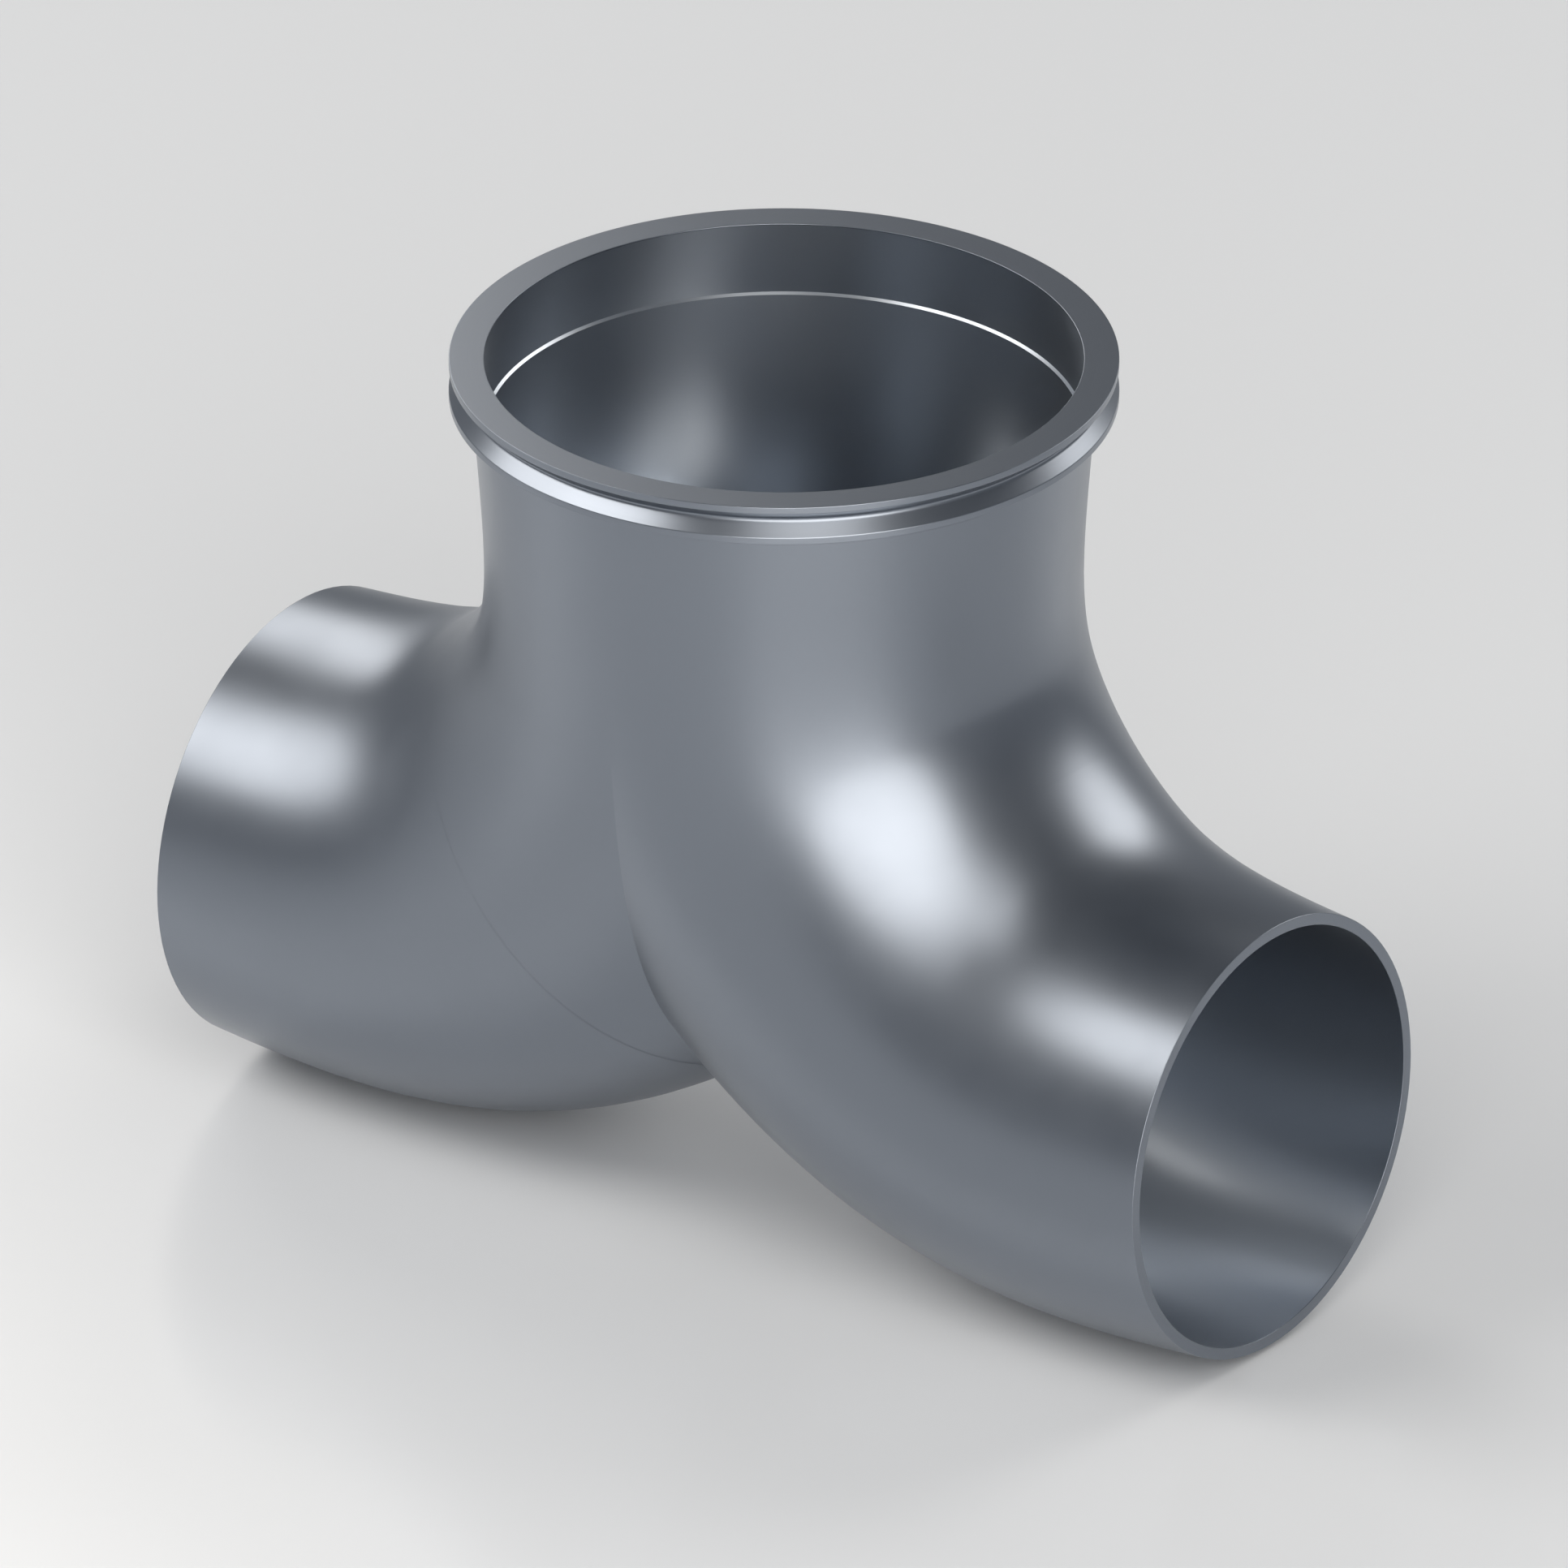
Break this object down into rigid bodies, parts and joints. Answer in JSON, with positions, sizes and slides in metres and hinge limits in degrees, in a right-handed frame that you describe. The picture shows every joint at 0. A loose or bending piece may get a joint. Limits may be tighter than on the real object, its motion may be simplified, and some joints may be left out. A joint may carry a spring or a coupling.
{
  "type": "y-branch reducer",
  "caption": "Thin-walled tube fitting: a grooved round collar with an inlet socket opens into two tapering elbows that turn away left and right to narrower outlets.",
  "frame": {"origin": "middle of the inlet, in the plane of the collar's top face", "axes": "+Z out of the inlet along its axis, +X and -X out of the two outlets, Y across the plane that holds all three axes"},
  "size_m": [0.2, 0.11, 0.1518],
  "materials": {
    "stainless_steel": "satin, with a finer turned finish on the collar"
  },
  "bodies": {
    "root": {"y_branch_body": "stainless_steel"}
  },
  "joints": []
}
